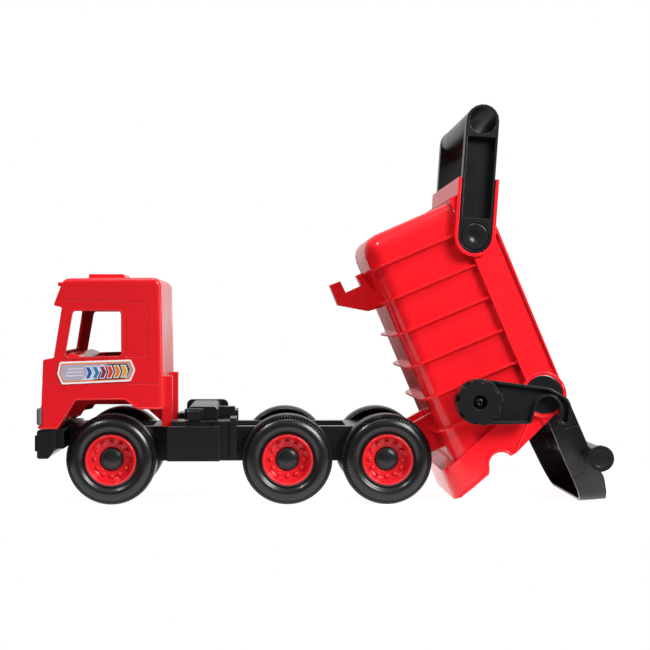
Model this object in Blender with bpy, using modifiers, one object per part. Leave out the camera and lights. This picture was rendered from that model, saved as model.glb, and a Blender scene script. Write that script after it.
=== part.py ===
"""A toy tipper truck: three axles, a cab, and a bed that tips back on a pin behind the rear axle.

The truck's front faces -X, its left side faces -Y, and +Z is up. The bed stands tipped, with its
tailgate hanging open and its two latch levers swung clear.

Drawing dimensions are in millimetres. The chassis drawing is measured from a datum plane at
DATUM_X, and the bed drawing from the tipping pin, with the bed lying flat.
"""

import math

import bmesh
import bpy
from mathutils import Matrix, Vector

MM = 0.001
DATUM_X = -55.15
GAP = 0.3
SIDES = {"left": -1, "right": 1}

# Overall driving dimensions, in millimetres or degrees.
WHEEL_R = 39.0
WHEEL_OUTER_Y = 63.5
WHEEL_INNER_Y = 37.5
AXLE_XS = {"front": -126.5, "middle": 25.4, "rear": 111.5}
AXLE_R = 3.0
CAB_HALF = 71.0
CAB_WALL = 2.2
RAIL_HALF = 34.0
RAIL_TOP = 65.7
BED_PIN = (118.3, 50.6)
BED_PIN_R = 4.0
TIP_ANGLE = 67.0
LOCK_TRAVEL = 12.0
TUB_WALL = 2.2
TUB_FLOOR = 40.4
TUB_FRONT = -174.5
TUB_RADIUS = 15.0
TUB_RIM = 150.8
LEDGE = 122.8
RIB_FIRST_X = -147.6
RIB_PITCH = 30.04
HANDLE_PIVOT = (-139.7, 130.1)
HANDLE_ANGLE = 153.0
HANDLE_LENGTH = 98.4
HANDLE_R = 13.8
GATE_PIVOT = (6.4, 131.9)
GATE_OPEN = 70.0
GATE_DISC_R = 16.0
PEG = (48.2, 76.8)
PEG_R = 9.6
LEVER_PIVOT = (-11.2, 76.8)
LEVER_OPEN = 61.3
LEVER_HOOK = 59.4
HOOK_R = 10.2
KNOB_R = 19.4

RED = ("red_plastic", (0.72, 0.013, 0.022), 0.22, 0.0)
BLACK = ("black_plastic", (0.018, 0.018, 0.02), 0.38, 0.0)
TYRE = ("tyre_plastic", (0.014, 0.014, 0.015), 0.42, 0.0)
GREY = ("grey_plastic", (0.16, 0.165, 0.18), 0.35, 0.0)
STEEL = ("axle_steel", (0.55, 0.55, 0.56), 0.3, 1.0)
LABEL = ("label_film", (0.75, 0.75, 0.8), 0.3, 0.0)

for leftover in list(bpy.data.objects):
    bpy.data.objects.remove(leftover)
truck = bpy.data.collections.new("toy_tipper_truck")
bpy.context.scene.collection.children.link(truck)


def material(slot):
    """A slot's plastic or steel, made once."""
    name, colour, roughness, metallic = slot
    found = bpy.data.materials.get(name)
    if found:
        return found
    made = bpy.data.materials.new(name)
    made.use_nodes = True
    shader = made.node_tree.nodes["Principled BSDF"]
    shader.inputs["Base Color"].default_value = (*colour, 1.0)
    shader.inputs["Roughness"].default_value = roughness
    shader.inputs["Metallic"].default_value = metallic
    return made


def add_object(mesh, name="piece"):
    made = bpy.data.objects.new(name, mesh)
    truck.objects.link(made)
    return made


def evaluated_mesh(thing):
    bpy.context.view_layer.update()
    return bpy.data.meshes.new_from_object(thing.evaluated_get(bpy.context.evaluated_depsgraph_get()))


def fillet(corners, step=24.0):
    """An outline from its corners, each (a, b) or (a, b, radius), with every radius an arc."""
    outline = []
    for i, corner in enumerate(corners):
        here = Vector(corner[:2])
        if len(corner) == 2:
            outline.append(here)
            continue
        back = (Vector(corners[i - 1][:2]) - here).normalized()
        ahead = (Vector(corners[(i + 1) % len(corners)][:2]) - here).normalized()
        half = back.angle(ahead) / 2
        reach = corner[2] / math.tan(half)
        centre = here + (back + ahead).normalized() * corner[2] / math.sin(half)
        start = here + back * reach - centre
        turn = start.angle_signed(here + ahead * reach - centre)
        count = max(2, math.ceil(abs(math.degrees(turn)) / step))
        for k in range(count + 1):
            outline.append(centre + Matrix.Rotation(-turn * k / count, 2) @ start)
    return outline


def arc(centre, radius, start, end, step=20.0):
    """Points of an arc, from one angle to another, in degrees."""
    count = max(2, math.ceil(abs(end - start) / step))
    angles = [math.radians(start + (end - start) * k / count) for k in range(count + 1)]
    return [Vector((centre[0] + radius * math.cos(a), centre[1] + radius * math.sin(a))) for a in angles]


def inset(outline, depth):
    """The outline moved inwards by depth all the way round."""
    area = sum(a.cross(b) for a, b in zip(outline, outline[1:] + outline[:1]))
    side = math.copysign(1.0, area)
    moved = []
    for i, here in enumerate(outline):
        back = (here - outline[i - 1]).normalized()
        ahead = (outline[(i + 1) % len(outline)] - here).normalized()
        normal = (Vector((-back.y, back.x)) + Vector((-ahead.y, ahead.x))).normalized()
        stretch = max(0.5, normal.dot(Vector((-back.y, back.x))))
        moved.append(here + normal * side * depth / stretch)
    return moved


TURNS = {
    "x": Matrix(((0, 0, 1), (1, 0, 0), (0, 1, 0))),
    "y": Matrix(((1, 0, 0), (0, 0, -1), (0, 1, 0))),
    "z": Matrix.Identity(3),
}


def slab(outline, low, high, across="y", holes=()):
    """A flat outline as thick as low to high along one axis. Across y, its points are (x, z)."""
    curve = bpy.data.curves.new("outline", "CURVE")
    curve.dimensions = "2D"
    curve.fill_mode = "BOTH"
    curve.extrude = (high - low) / 2 * MM
    for loop in (outline, *holes):
        spline = curve.splines.new("POLY")
        spline.points.add(len(loop) - 1)
        spline.use_cyclic_u = True
        for point, place in zip(spline.points, loop):
            point.co = (place[0] * MM, place[1] * MM, 0.0, 1.0)
    drawn = add_object(curve)
    mesh = evaluated_mesh(drawn)
    bpy.data.objects.remove(drawn)
    turn = TURNS[across].to_4x4()
    middle = (low + high) / 2 * MM
    shift = {"x": (middle, 0, 0), "y": (0, middle, 0), "z": (0, 0, middle)}[across]
    mesh.transform(Matrix.Translation(shift) @ turn)
    close(mesh)
    return add_object(mesh)


def close(mesh):
    """Caps welded to their sides, and every face pointing out."""
    work = bmesh.new()
    work.from_mesh(mesh)
    bmesh.ops.remove_doubles(work, verts=work.verts, dist=1e-6)
    bmesh.ops.recalc_face_normals(work, faces=work.faces)
    work.to_mesh(mesh)
    work.free()


def box(x, y, z):
    """A block between two corners: each argument is (low, high)."""
    mesh = bpy.data.meshes.new("block")
    work = bmesh.new()
    bmesh.ops.create_cube(work, size=1.0)
    size = [(high - low) * MM for low, high in (x, y, z)]
    centre = [(high + low) / 2 * MM for low, high in (x, y, z)]
    work.transform(Matrix.Translation(centre) @ Matrix.Diagonal((*size, 1.0)))
    work.to_mesh(mesh)
    work.free()
    return add_object(mesh)


def rod(place, radius, low, high, sides=24):
    """A round bar along Y, centred on place, which is (x, z)."""
    mesh = bpy.data.meshes.new("rod")
    work = bmesh.new()
    bmesh.ops.create_cone(
        work, cap_ends=True, segments=sides, radius1=radius * MM, radius2=radius * MM, depth=(high - low) * MM
    )
    centre = Vector((place[0], (low + high) / 2, place[1])) * MM
    work.transform(Matrix.Translation(centre) @ TURNS["y"].to_4x4())
    work.to_mesh(mesh)
    work.free()
    return add_object(mesh)


def turned(profile, place, steps, flip=False):
    """A closed profile of (radius, y) points turned about an axis along Y through place."""
    mesh = bpy.data.meshes.new("turned")
    work = bmesh.new()
    corners = [work.verts.new((radius * MM, 0.0, y * MM)) for radius, y in profile]
    for first, second in zip(corners, corners[1:] + corners[:1]):
        work.edges.new((first, second))
    work.to_mesh(mesh)
    work.free()
    lathe = add_object(mesh)
    screw = lathe.modifiers.new("turn", "SCREW")
    screw.steps = steps
    screw.render_steps = steps
    screw.use_merge_vertices = True
    screw.merge_threshold = 1e-6
    whole = evaluated_mesh(lathe)
    bpy.data.objects.remove(lathe)
    mirror = Matrix.Diagonal((1, -1 if flip else 1, 1, 1))
    spin = Matrix.Rotation(-math.pi / 2, 4, "X")
    whole.transform(Matrix.Translation(Vector((place[0], 0.0, place[1])) * MM) @ mirror @ spin)
    close(whole)
    return add_object(whole)


def combine(base, tool, operation, solver="EXACT"):
    step = base.modifiers.new(operation.lower(), "BOOLEAN")
    step.operation = operation
    step.object = tool
    step.solver = solver
    mesh = evaluated_mesh(base)
    base.modifiers.clear()
    base.data = mesh
    bpy.data.objects.remove(tool)
    return base


def join(base, *tools):
    for tool in tools:
        combine(base, tool, "UNION")
    return base


def cut(base, *tools):
    for tool in tools:
        combine(base, tool, "DIFFERENCE")
    return base


def mirrored(thing, keep=True):
    """The same shape on the truck's other side."""
    mesh = thing.data.copy()
    mesh.transform(Matrix.Diagonal((1, -1, 1, 1)))
    close(mesh)
    if not keep:
        bpy.data.objects.remove(thing)
    return add_object(mesh)


def both_sides(make):
    """A shape and its mirror image, as a list."""
    left = make()
    return [left, mirrored(left)]


def rounded(thing, width, segments=1, angle=40.0):
    """Sharp edges of the finished piece taken off."""
    bevel = thing.modifiers.new("edges", "BEVEL")
    bevel.width = width * MM
    bevel.segments = segments
    bevel.limit_method = "ANGLE"
    bevel.angle_limit = math.radians(angle)
    return thing


def finish(thing, name, slot, frame=None, origin=None):
    """Name the piece, give it its plastic, and hang it on its frame with its origin on its axis."""
    thing.name = name
    thing.data.name = name
    thing.data.materials.clear()
    thing.data.materials.append(material(slot))
    if origin is not None:
        centre = Vector(origin) * MM
        thing.data.transform(Matrix.Translation(-centre))
        thing.location = centre
    thing.parent = frame
    thing.data.shade_smooth()
    thing.data.set_sharp_from_angle(angle=math.radians(35))
    return thing


def hang(thing, name, slot, pivot):
    """Finish a piece drawn in the bed's frame so that it turns with a pivot's frame."""
    thing.data.transform(Matrix.Translation(-pivot.location))
    return finish(thing, name, slot, pivot)


def empty(name, place, parent=None, turn=0.0):
    """A frame at (x, z), turned about +Y."""
    made = bpy.data.objects.new(name, None)
    truck.objects.link(made)
    made.location = Vector((place[0], 0.0, place[1])) * MM
    made.rotation_euler.y = math.radians(turn)
    made.parent = parent
    return made


# ---------------------------------------------------------------- chassis


def chassis_frame(frame):
    """An open-bottomed box girder, with axle brackets and two ears for the tipping pin."""
    wall = 3.0
    start, bulkhead, end = -166.2, 97.0, 131.0
    girder = box((start, end), (-RAIL_HALF, RAIL_HALF), (35.4, RAIL_TOP))
    hollow = box((start + wall, bulkhead), (wall - RAIL_HALF, RAIL_HALF - wall), (20.0, RAIL_TOP - wall))
    between_ears = box((bulkhead + wall, end + 10.0), (-27.5, 27.5), (20.0, RAIL_TOP + 10.0))
    for base, slope in ((AXLE_XS["front"], 12.0), (AXLE_XS["middle"], 12.0)):
        bracket = [
            (base - slope - 6, 40.0), (base - slope, 30.0), (base + slope, 30.0), (base + slope + 6, 40.0),
        ]
        join(girder, *both_sides(lambda: slab(bracket, 28.0, RAIL_HALF - 0.4)))
    rear = [(66.0, 42.0), (76.0, 28.5), (124.0, 28.5), (end - 1.0, 36.0), (end - 1.0, 42.0)]
    join(girder, *both_sides(lambda: slab(rear, 28.2, RAIL_HALF - 0.4)))
    cut(girder, hollow, between_ears)
    for low, high in ((-157.0, -141.0), (-113.0, -93.0), (-34.0, 78.0)):
        plate = fillet([(low, -25, 4), (high, -25, 4), (high, 25, 4), (low, 25, 4)])
        cut(girder, slab(plate, RAIL_TOP - 8, RAIL_TOP + 8, "z"))
    for x in AXLE_XS.values():
        cut(girder, rod((x, WHEEL_R), AXLE_R + GAP, -50.0, 50.0, 16))
    cut(girder, rod(BED_PIN, BED_PIN_R + GAP, -50.0, 50.0, 16))
    finish(girder, "chassis_frame", BLACK, frame)


def front_bumper(frame):
    """A deep bumper bar with a thin face plate, stepped in behind."""
    bar = fillet([(-188.4, 41, 2), (-188.4, 65.6, 2), (-174, 65.6), (-174, 47, 3), (-179, 41, 3)])
    bumper = slab(bar, -69.0, 69.0)
    join(bumper, box((-175.0, -166.5), (-62.0, 62.0), (49.0, 65.4)))
    join(bumper, box((-192.1, -187.5), (-58.0, 58.0), (46.3, 59.7)))
    cut(bumper, box((-186.0, -160.0), (-59.5, 59.5), (51.5, 63.2)))
    finish(bumper, "front_bumper", BLACK, frame)


def tool_box(side, frame):
    """A side locker, open below: a body, a front panel held off it by a slot, and an end flange."""
    inner, panel, outer = RAIL_HALF + GAP, 59.5, 63.0
    locker = box((-74.3, -22.5), (-panel, -inner), (38.5, 72.2))
    join(locker, box((-78.0, -33.0), (-outer, 0.5 - panel), (38.0, 67.8)))
    join(locker, box((-24.0, -18.6), (-panel - 2.0, -inner), (39.0, 75.0)))
    cut(locker, box((-63.0, -38.0), (-panel - 0.01, 2.8 - panel), (50.0, 80.0)))
    cut(locker, box((-72.1, -26.4), (5.0 - panel, -inner - 2.2), (20.0, 69.8)))
    if side == "right":
        locker = mirrored(locker, keep=False)
    finish(locker, f"tool_box_{side}", BLACK, frame)


def bed_lock(frame):
    """The sliding bolt that holds the lowered bed, and the bracket that its near end runs in."""
    bracket = slab([(-63.5, 72.6), (-63.5, 82.6), (-47.1, 82.6), (-47.1, 72.6), (-48.6, 72.6), (-48.6, 81.0),
                    (-61.6, 81.0), (-61.6, 72.6)], -54.5, -51.0)
    finish(bracket, "lock_bracket", BLACK, frame)
    near, far = -50.5 + LOCK_TRAVEL, 52.0
    bolt = box((-61.0, -49.3), (-58.0, near + 1.0), (72.8, 80.6))
    bar = fillet([(-61.7, 72.8), (-61.7, 83.4, 4), (-35.4, 83.4, 4), (-35.4, 72.8)])
    plate = fillet([(-67.3, 72.8), (-67.3, 84, 5), (-28.1, 84, 5), (-28.1, 72.8)])
    join(bolt, cut(slab(bar, near, far), box((-59.5, -37.6), (near + 2.2, far - 2.0), (70.0, 81.2))))
    join(bolt, slab(plate, far - 1.5, far + 2.5), box((-40.0, -21.0), (10.2, 20.0), (73.2, 80.0)))
    finish(bolt, "bed_lock_bolt", BLACK, frame)


def tipping_pin(frame):
    finish(rod(BED_PIN, BED_PIN_R, -36.0, 36.0, 16), "tipping_pin", STEEL, frame)


# ---------------------------------------------------------------- cab


def cab_profile():
    """The cab's side view, drawn down to its open bottom, without the wheel arch."""
    return fillet([
        (-82.6, 195.6, 7), (-165.0, 195.0, 7), (-173.8, 171.9, 1.2), (-166.7, 170.2, 1.5),
        (-173.7, 127.2, 1.0), (-182.7, 125.6, 1.5), (-184.2, 87), (-187.2, 66.7), (-80.2, 66.7),
    ])


def cab_shell(frame):
    """A thin shell, open below, with window openings, wheel arches and two legs at the back."""
    profile = cab_profile()
    shell = rounded(slab(profile, -CAB_HALF, CAB_HALF), 3.5, 2, 60)
    shell.data = evaluated_mesh(shell)
    shell.modifiers.clear()
    inner = [p if p.y > 67 else Vector((p.x, 40.0)) for p in profile]
    cut(shell, slab(inset(inner, CAB_WALL), CAB_WALL - CAB_HALF, CAB_HALF - CAB_WALL))
    arch = fillet([(-171.2, 60), (-171.2, 66), (-155.1, 91.1, 4), (-113.3, 91.5, 6), (-103, 83.4, 3),
                   (-60, 83.4), (-60, 60)])
    cut(shell, slab(arch, -90.0, 90.0))
    side_window = fillet([(-157.4, 167, 3), (-116.6, 167, 3), (-116.4, 129, 3), (-164.3, 127.6, 3)])
    cut(shell, slab(side_window, -90.0, 90.0))
    windscreen = fillet([(-58, 132, 4), (58, 132, 4), (58, 167.5, 4), (-58, 167.5, 4)])
    cut(shell, slab(windscreen, -190.0, -150.0, "x"))
    liner = fillet([(-175.5, 67), (-157.0, 94.0, 4), (-112.4, 94.4, 6), (-102.0, 86.2, 3), (-81.5, 86.2),
                    (-81.5, 83.4), (-103, 83.4, 3), (-113.3, 91.5, 6), (-155.1, 91.1, 4), (-171.2, 67)])
    inner_wall = [(-171.0, 71.8), (-161.8, 74.8), (-155.2, 76.2), (-148.7, 85.5), (-98.6, 85.5),
                  (-96.2, 81.1), (-83.4, 69.7), (-80.9, 67.3), (-80.9, 85.0), (-102.7, 85.0),
                  (-112.9, 93.2), (-156.4, 92.8)]
    arch = slab(liner, 38.0, CAB_HALF - 0.6)
    combine(arch, slab(inner_wall, 36.3, 39.6), "UNION", "MANIFOLD")
    join(shell, arch, mirrored(arch))
    join(shell, *both_sides(lambda: box((-174.2, -163.0), (32.0, 44.0), (189.0, 192.2))))
    join(shell, *both_sides(lambda: box((-84.0, -74.8), (36.0, 44.0), (66.2, 110.5))))
    cut(shell, *both_sides(lambda: box((-200.0, -183.4), (49.7, 90.0), (69.4, 84.6))))
    finish(shell, "cab_shell", RED, frame)


def cab_fittings(frame):
    """Roof hatch, dashboard, headlights and side labels."""
    pad = fillet([(-150.2, 195.9), (-149.8, 200.0, 1), (-119.4, 200.0, 1), (-116.4, 195.9)])
    hatch = rounded(slab(pad, -24.0, 24.0), 0.8)
    finish(hatch, "roof_hatch", RED, frame)
    desk = fillet([(-171.5, 108), (-171.5, 123, 2), (-160.0, 131.5, 3), (-152.0, 129.0, 3), (-146.0, 108)])
    half = CAB_HALF - CAB_WALL - GAP
    dashboard = slab(desk, -half, half)
    cut(dashboard, box((-169.3, -152.2), (2.2 - half, half - 2.2), (100.0, 121.5)))
    finish(dashboard, "dashboard", RED, frame)
    for side, sign in SIDES.items():
        low, high = sorted((sign * 50.0, sign * (CAB_HALF + 0.4)))
        lamp = rounded(box((-188.4, -183.8), (low, high), (69.8, 84.2)), 1.0)
        finish(lamp, f"headlight_{side}", GREY, frame)
        low, high = sorted((sign * (CAB_HALF + GAP), sign * (CAB_HALF + 0.8)))
        plate = fillet([(-170.6, 113.5, 3), (-168.5, 123.8, 2), (-108.0, 125.8, 2), (-104.2, 117.0, 3),
                        (-108.2, 107.4, 2), (-166.6, 104.6, 2)])
        finish(slab(plate, low, high), f"side_label_{side}", LABEL, frame)


# ---------------------------------------------------------------- wheels


def wheel(axle, side, frame):
    """A hollow-backed tyre, a dished rim and a domed hub cap, all turned about the axle."""
    tyre = [
        (21.9, 12.6), (31.5, 13.0), (36.4, 11.6), (WHEEL_R, 6.0), (WHEEL_R, -9.0), (37.0, -13.0),
        (35.6, -13.0), (35.6, 9.0), (24.4, 10.0), (24.4, -3.0), (7.4, -3.0), (7.4, -12.6),
        (3.4, -12.6), (3.4, -0.6), (21.9, -0.6),
    ]
    rim = [
        (21.6, 12.8), (19.6, 12.8), (17.0, 3.2), (10.2, 2.6),
        (10.2, 1.6), (4.0, 1.6), (4.0, -0.2), (21.6, -0.2),
    ]
    cap = [(0.0, 6.0), (6.4, 5.2), (9.85, 2.0), (0.0, 2.0)]
    x = AXLE_XS[axle]
    middle = (WHEEL_OUTER_Y + WHEEL_INNER_Y) / 2
    sign = SIDES[side]
    place = (x, WHEEL_R)
    pieces = ((tyre, 28, "tyre", TYRE), (rim, 20, "rim", RED), (cap, 16, "hub_cap", BLACK))
    for profile, steps, part, slot in pieces:
        shifted = [(radius, sign * (y + middle)) for radius, y in profile]
        piece = turned(shifted, place, steps)
        finish(piece, f"{axle}_{part}_{side}", slot, frame, (x, sign * middle, WHEEL_R))


def axle_rod(axle, frame):
    reach = (WHEEL_OUTER_Y + WHEEL_INNER_Y) / 2 + 1.2
    rod_piece = rod((AXLE_XS[axle], WHEEL_R), AXLE_R, -reach, reach, 16)
    finish(rod_piece, f"{axle}_axle", STEEL, frame)


# ---------------------------------------------------------------- bed


def tub_solid(depth):
    """The tub's body as one block, moved in by depth: it tapers down, and three sides are rounded."""
    low, high, end = TUB_FLOOR + depth, 170.0, 110.0
    lean = (73.0 - 66.0) / (LEDGE - TUB_FLOOR)
    foot = 66.0 - depth + depth * lean
    head = foot + (high - low) * lean
    mesh = bpy.data.meshes.new("tub")
    work = bmesh.new()
    bmesh.ops.create_cube(work, size=2.0)
    for vert in work.verts:
        half = head if vert.co.z > 0 else foot
        x = end if vert.co.x > 0 else TUB_FRONT + depth - (1.0 if vert.co.z > 0 else 0.0)
        vert.co = Vector((x, half * vert.co.y, high if vert.co.z > 0 else low)) * MM
    soft = [
        edge for edge in work.edges
        if sum((v.co.x > 0) for v in edge.verts) < 2 and sum((v.co.z > 0.1) for v in edge.verts) < 2
        or all(v.co.z < 0.1 for v in edge.verts) and edge.verts[0].co.y * edge.verts[1].co.y > 0
    ]
    bmesh.ops.bevel(
        work, geom=soft, offset=(TUB_RADIUS - depth) * MM, segments=4, profile=0.5,
        affect="EDGES", clamp_overlap=True,
    )
    bmesh.ops.triangulate(work, faces=work.faces)
    bmesh.ops.recalc_face_normals(work, faces=work.faces)
    work.to_mesh(mesh)
    work.free()
    return add_object(mesh)


def along(distance, offset):
    """A point beside the handle's arm, in the bed drawing."""
    angle = math.radians(HANDLE_ANGLE)
    run = Vector((math.cos(angle), math.sin(angle)))
    side = Vector((run.y, -run.x))
    return Vector(HANDLE_PIVOT) + run * distance + side * offset


def stadium(radius, start, end):
    """An outline round the handle's arm, with a half circle at the pivot's end."""
    first = HANDLE_ANGLE - 90.0
    near = arc(along(start, 0), radius, first, first - 180.0)
    return [*near, along(end, -radius), along(end, radius)]


def bed_side():
    """The side wall's outline: the rim, the corner round the tailgate's pivot, and the notched rear edge."""
    notch = arc(PEG, PEG_R + 0.9, 110.0, 266.0)
    return [
        Vector((TUB_FRONT - 20, 20)), Vector((TUB_FRONT - 20, TUB_RIM)), *arc(GATE_PIVOT, 19.4, 65, 8),
        Vector((44.0, 92.0)), *notch, Vector((52.0, 64.0)), Vector((63.8, 29.2)), Vector((63.4, 20.0)),
    ]


def collar(depth):
    """The proud rear end of the tub, from a slanting edge back."""
    side = [
        (-3.0 + depth, 126.0), (14.8 + depth, 86.6), (36.3 + depth, 29.0),
        (36.3 + depth, 10.0), (90, 10), (90, 126),
    ]
    low, high = 29.4 + depth, 126.0
    foot, head = 68.5 - depth, 76.8 - depth
    ends = fillet([(-foot, low, 20 - depth), (foot, low, 20 - depth), (head, high + 4), (-head, high + 4)], 30)
    piece = slab(side, -100.0, 100.0)
    return combine(piece, slab(ends, -60.0, 120.0, "x"), "INTERSECT")


def bed_tub(frame):
    """The open tub: ribbed sides, belt and rim, rear collar, handle pockets, canopy, hinge arms and hook."""
    tub = tub_solid(0.0)
    belt = fillet([(TUB_FRONT - 3.6, LEDGE), (90, LEDGE), (90, 168), (TUB_FRONT - 3.6, 168)])
    join(tub, slab(belt, -78.0, 78.0))
    for number in range(6):
        x = RIB_FIRST_X + number * RIB_PITCH
        ring = fillet([(-69.6, 35.4, 18), (69.6, 35.4, 18), (76.6, LEDGE + 1), (-76.6, LEDGE + 1)], 30)
        join(tub, slab(ring, x - 0.9, x + 0.9, "x"))
    join(tub, collar(0.0))
    rim = fillet([(TUB_FRONT - 5.0, TUB_RIM - 2.4), (90, TUB_RIM - 2.4), (90, 160), (TUB_FRONT - 5.0, 160)])
    join(tub, slab(rim, -80.0, 80.0))
    cut(tub, tub_solid(TUB_WALL))
    cut(tub, box((TUB_FRONT - 1.4, 120.0), (-75.8, 75.8), (LEDGE + TUB_WALL, 200.0)))
    cut(tub, collar(TUB_WALL))
    boss = rod(GATE_PIVOT, 19.4, 74.0, 80.4, 32)
    join(tub, boss, mirrored(boss))
    combine(tub, slab(bed_side(), -100.0, 100.0), "INTERSECT")
    pocket = slab(stadium(17.2, 0, 49.4), 67.4, 80.6)
    join(tub, pocket, mirrored(pocket))
    canopy = [along(0, -17.2), along(49.4, -17.2), along(49.4, -14.9), along(0, -14.9)]
    join(tub, slab(canopy, -70.0, 70.0))
    slot = slab(stadium(HANDLE_R + 0.6, 0, 80), 69.6, 100.0)
    cut(tub, slot, mirrored(slot))
    hole = rod(GATE_PIVOT, GATE_DISC_R + 0.5, 60.0, 100.0, 32)
    cut(tub, hole, mirrored(hole))
    arm = fillet([(-10, 41), (-5.5, -2, 5), (5.5, -5.5, 5), (22, 20, 8), (22, 41)])
    join(tub, *both_sides(lambda: slab(arm, 20.0, 26.0)))
    hook = [(-149.8, 5.2), (-149.5, 15.4), (-138.0, 16), (-138.3, 31.2), (-148.5, 30.6), (-148.5, 41.5),
            (-113.0, 41.5), (-114.5, 28.7), (-130.2, 5.0)]
    join(tub, slab(hook, -8.0, 8.0))
    join(tub, *both_sides(lambda: rod(LEVER_PIVOT, 6.0, 67.2, 81.4, 16)))
    cut(tub, rod((0, 0), BED_PIN_R + GAP, -50.0, 50.0, 16))
    bore = rod(LEVER_PIVOT, 3.3, 60.0, 100.0, 12)
    cut(tub, bore, mirrored(bore))
    pin = rod(HANDLE_PIVOT, 3.3, 60.0, 100.0, 12)
    cut(tub, pin, mirrored(pin))
    finish(tub, "bed_tub", RED, frame)


def carry_handle(frame):
    """Two channel-section arms joined by a hollow grip."""
    first = HANDLE_ANGLE - 90.0
    outline = [
        *arc(along(0, 0), HANDLE_R, first, first - 180),
        *arc(along(HANDLE_LENGTH, 0), HANDLE_R, first + 180, first),
    ]
    arm = slab(outline, 70.0, 79.8)
    groove = slab([along(15.5, -11.8), along(84.5, -11.8), along(84.5, 11.8), along(15.5, 11.8)], 71.8, 90.0)
    cut(arm, groove)
    seat = rod(HANDLE_PIVOT, 11.9, 76.5, 90.0, 24)
    cut(arm, seat)
    cut(arm, rod(HANDLE_PIVOT, 3.3, 60.0, 90.0, 12))
    grip_end = along(HANDLE_LENGTH, 0)
    handle = join(arm, mirrored(arm), rod(grip_end, HANDLE_R - 0.3, -72.0, 72.0, 28))
    cut(handle, rod(grip_end, 11.4, -90.0, 90.0, 24))
    finish(handle, "carry_handle", BLACK, frame)
    for side, sign in SIDES.items():
        head = rod(HANDLE_PIVOT, 11.6, *sorted((sign * 76.8, sign * 80.2)), 24)
        join(head, rod(HANDLE_PIVOT, 3.0, *sorted((sign * 64.5, sign * 77.5)), 12))
        finish(rounded(head, 0.5), f"handle_pin_{side}", BLACK, frame)


def gate_block(depth, reach):
    """The tailgate's side view as a solid, moved in by depth; reach opens its inner side towards the bed."""
    px, pz = GATE_PIVOT
    outer = [(12.0, 6.0), (20.5, -4.0), (24.0, -9.4), (38.5, -46.9), (51.2, -74.3), (55.2, -95.9)]
    inner = [(33.2, -96.4), (29.6, -87.4), (17.5, -58.0), (5.5, -25.5), (-4.0, -2.0)]
    drawn = [Vector((px + x, pz + z)) for x, z in outer + inner]
    if depth:
        drawn = inset(drawn, depth)
        drawn = drawn[: len(outer)] + [p + Vector((-reach, 0)) for p in drawn[len(outer):]]
    foot, head = 64.4 - depth, 73.6 - depth
    ends = fillet([(-foot, 35.0 + depth, 20), (foot, 35.0 + depth, 20), (head, 150), (-head, 150)], 30)
    return combine(slab(drawn, -90.0, 90.0), slab(ends, -60.0, 120.0, "x"), "INTERSECT")


def tailgate(frame):
    """A tray that hangs on two big discs, with the hollow latch peg right across it."""
    gate = gate_block(0.0, 0.0)
    cut(gate, gate_block(2.2, 14.0))
    disc = rod(GATE_PIVOT, GATE_DISC_R, 66.4, 80.0, 32)
    join(gate, disc, mirrored(disc))
    join(gate, rod(PEG, PEG_R - 0.2, -92.5, 92.5, 24))
    peg_end = rod(PEG, 11.1, 91.6, 95.0, 24)
    join(gate, peg_end, mirrored(peg_end))
    cut(gate, rod(PEG, PEG_R - 2.8, -100.0, 100.0, 20))
    hang(gate, "tailgate", BLACK, frame)


def lever_outline():
    """The latch lever from its pivot at (0, 0) to its hook, which opens downwards."""
    crown = fillet([(0, 19.3), (59, 17.4, 15), (79.2, 9, 12), (78.4, -12.4, 4.0), (69.6, -12.4, 4), (69.6, -2)])
    mouth = arc((LEVER_HOOK, 0.0), HOOK_R, 0.0, 178.0)
    foot = fillet([(49.2, -3.0), (46.6, -14.2, 2.5), (4.0, -19.0)])
    return [*crown[:-1], *mouth, *foot[1:], *arc((0, 0), 19.3, 262.0, 98.0)]


def knob_outline():
    """The knob's grip: a circle with eight finger scallops."""
    reach, scallop, first = 20.6, 4.3, 41.7
    outline = []
    for k in range(96):
        angle = math.radians(first) + math.tau * k / 96
        off = math.radians((k * 3.75 + 22.5) % 45.0 - 22.5)
        across = reach * math.sin(off)
        radius = KNOB_R
        if abs(across) < scallop:
            radius = min(KNOB_R, reach * math.cos(off) - math.sqrt(scallop**2 - across**2))
        outline.append(Vector(LEVER_PIVOT) + radius * Vector((math.cos(angle), math.sin(angle))))
    return outline


def latch(side, frame):
    """A channelled lever with its scalloped knob, and the screw that both turn on."""
    sign = SIDES[side]
    outline = [Vector((LEVER_PIVOT[0] + p.x, LEVER_PIVOT[1] + p.y)) for p in lever_outline()]
    lever = slab(outline, *sorted((sign * 82.0, sign * 89.4)))
    panel = slab(inset(outline, 1.9), *sorted((sign * 85.4, sign * 95.0)))
    keep = rod(LEVER_PIVOT, 20.0, *sorted((sign * 87.0, sign * 96.0)), 24)
    cut(lever, cut(panel, keep))
    cut(lever, rod(LEVER_PIVOT, 3.3, *sorted((sign * 70.0, sign * 100.0)), 12))
    hang(lever, f"latch_lever_{side}", BLACK, frame)
    knob = slab(knob_outline(), *sorted((sign * 89.7, sign * 99.4)))
    join(knob, rod(LEVER_PIVOT, KNOB_R - 0.5, *sorted((sign * 89.7, sign * 91.7)), 48))
    cut(knob, rod(LEVER_PIVOT, 7.2, *sorted((sign * 96.0, sign * 110.0)), 20))
    cut(knob, rod(LEVER_PIVOT, 3.3, *sorted((sign * 70.0, sign * 110.0)), 12))
    hang(knob, f"latch_knob_{side}", BLACK, frame)
    screw = rod(LEVER_PIVOT, 3.0, *sorted((sign * 64.0, sign * 97.0)), 12)
    join(screw, rod(LEVER_PIVOT, 5.0, *sorted((sign * 96.4, sign * 98.4)), 16))
    hang(screw, f"latch_screw_{side}", BLACK, frame)


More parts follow.
